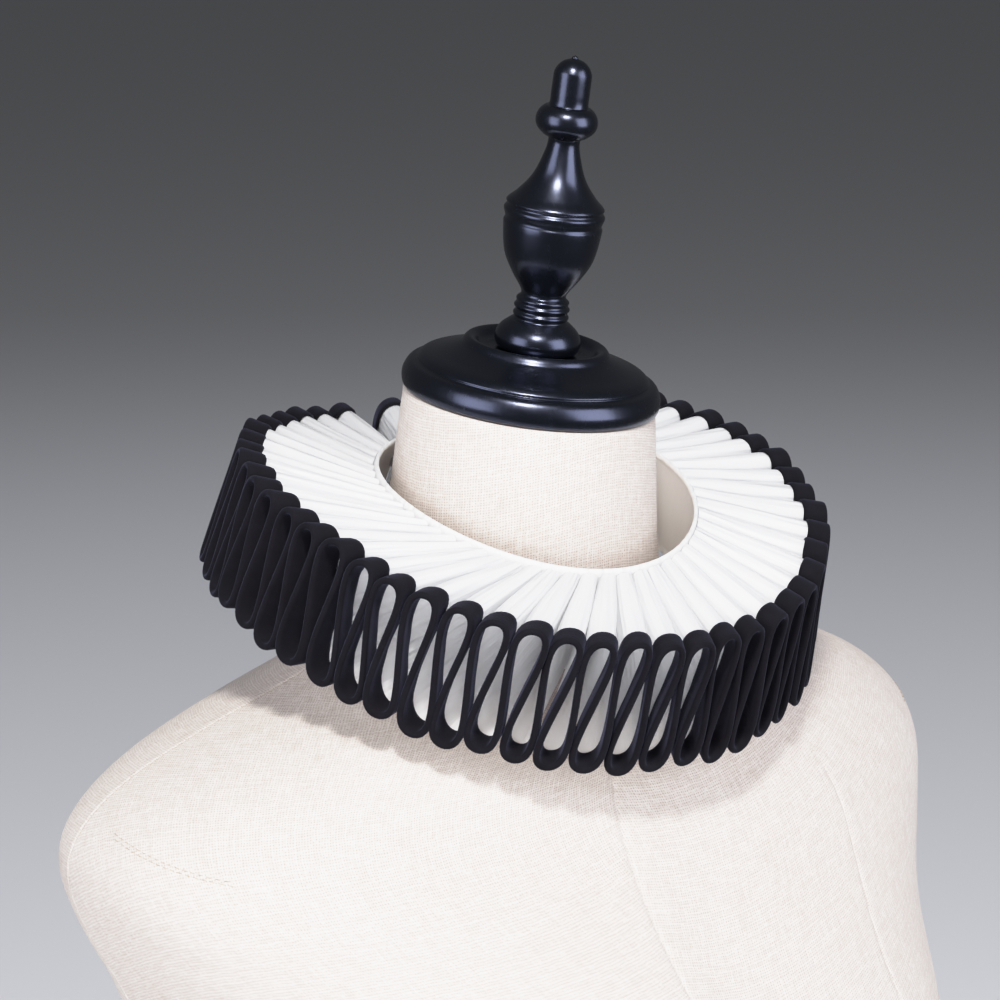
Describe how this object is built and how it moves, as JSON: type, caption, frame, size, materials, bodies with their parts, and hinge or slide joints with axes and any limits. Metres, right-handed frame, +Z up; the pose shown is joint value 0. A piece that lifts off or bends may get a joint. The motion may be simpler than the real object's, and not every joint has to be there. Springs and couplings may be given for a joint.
{
  "type": "detachable ruff collar on a dress form",
  "caption": "Figure-eight pleated ruff collar in white cloth with a black velvet edge, resting on the neck of a limbless dress form with a turned black finial.",
  "frame": {"origin": "middle of the dress form's flat underside", "axes": "+Z up, the form faces -Y, the wearer's right is -X"},
  "size_m": [0.3998, 0.2844, 0.5813],
  "materials": {
    "white_cotton": "smooth white cotton sateen",
    "black_velvet": "short-pile black velvet",
    "cream_linen": "plain-weave cream linen",
    "black_lacquered_wood": "glossy black lacquer",
    "nickel_wire": "plain nickel"
  },
  "bodies": {
    "root": {"ruffle_cloth": "white_cotton", "velvet_edge": "black_velvet", "neckband": "white_cotton", "hook_lower": "nickel_wire", "hook_upper": "nickel_wire", "bar_lower": "nickel_wire", "bar_upper": "nickel_wire", "form_body": "cream_linen", "neck_cap": "black_lacquered_wood", "finial": "black_lacquered_wood"}
  },
  "joints": []
}
